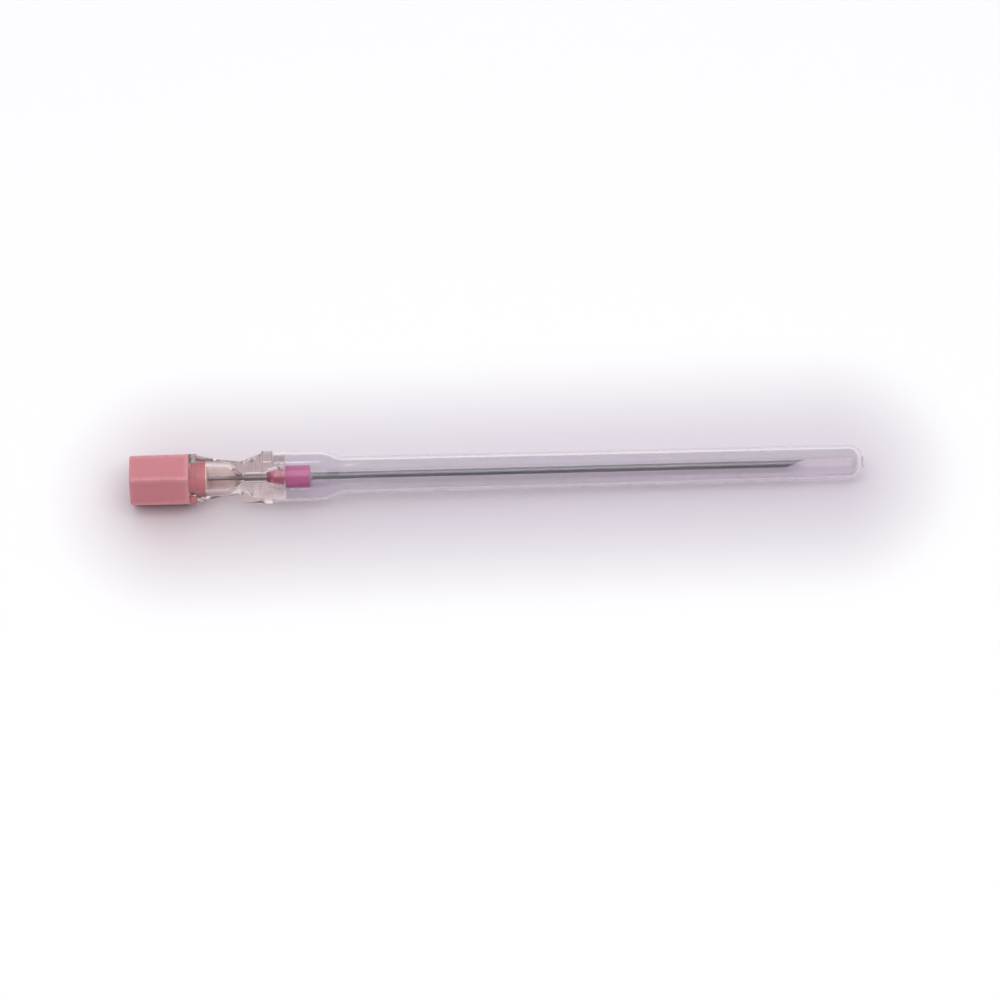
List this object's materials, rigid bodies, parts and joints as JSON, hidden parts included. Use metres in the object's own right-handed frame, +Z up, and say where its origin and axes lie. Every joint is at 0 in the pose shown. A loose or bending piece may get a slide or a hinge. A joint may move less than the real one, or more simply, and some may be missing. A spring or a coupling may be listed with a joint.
{
  "type": "spinal needle",
  "caption": "Spinal needle with stylet: six-sided pink cap, clear waisted hub, magenta collar, bevelled steel cannula and a clear tapered push-on cover.",
  "frame": {"origin": "on the needle's axis at the hub's rear face, the mouth of the syringe socket", "axes": "+X along the needle towards its tip, +Z up as it lies on a flat of its front flange"},
  "size_m": [0.1331, 0.0104, 0.0095],
  "materials": {
    "cap_pink": "satin moulded salmon pink",
    "steel": "polished stainless",
    "clear_hub": "clear glossy moulding",
    "collar_magenta": "glossy magenta",
    "adhesive": "cured clear adhesive",
    "clear_cover": "clear glossy moulding with a faint cool tint"
  },
  "bodies": {
    "needle": {"needle_hub": "clear_hub", "cannula": "steel", "hub_collar": "collar_magenta", "bond_bead": "adhesive"},
    "stylet": {"stylet_cap": "cap_pink", "stylet_wire": "steel"},
    "cover": {"needle_cover": "clear_cover"}
  },
  "joints": [
    {"name": "stylet_pull", "type": "slide", "parent": "needle", "child": "stylet", "axis": [-1, 0, 0], "range_m": [0, 0.115]},
    {"name": "cover_pull", "type": "slide", "parent": "needle", "child": "cover", "axis": [1, 0, 0], "range_m": [0, 0.1]}
  ]
}
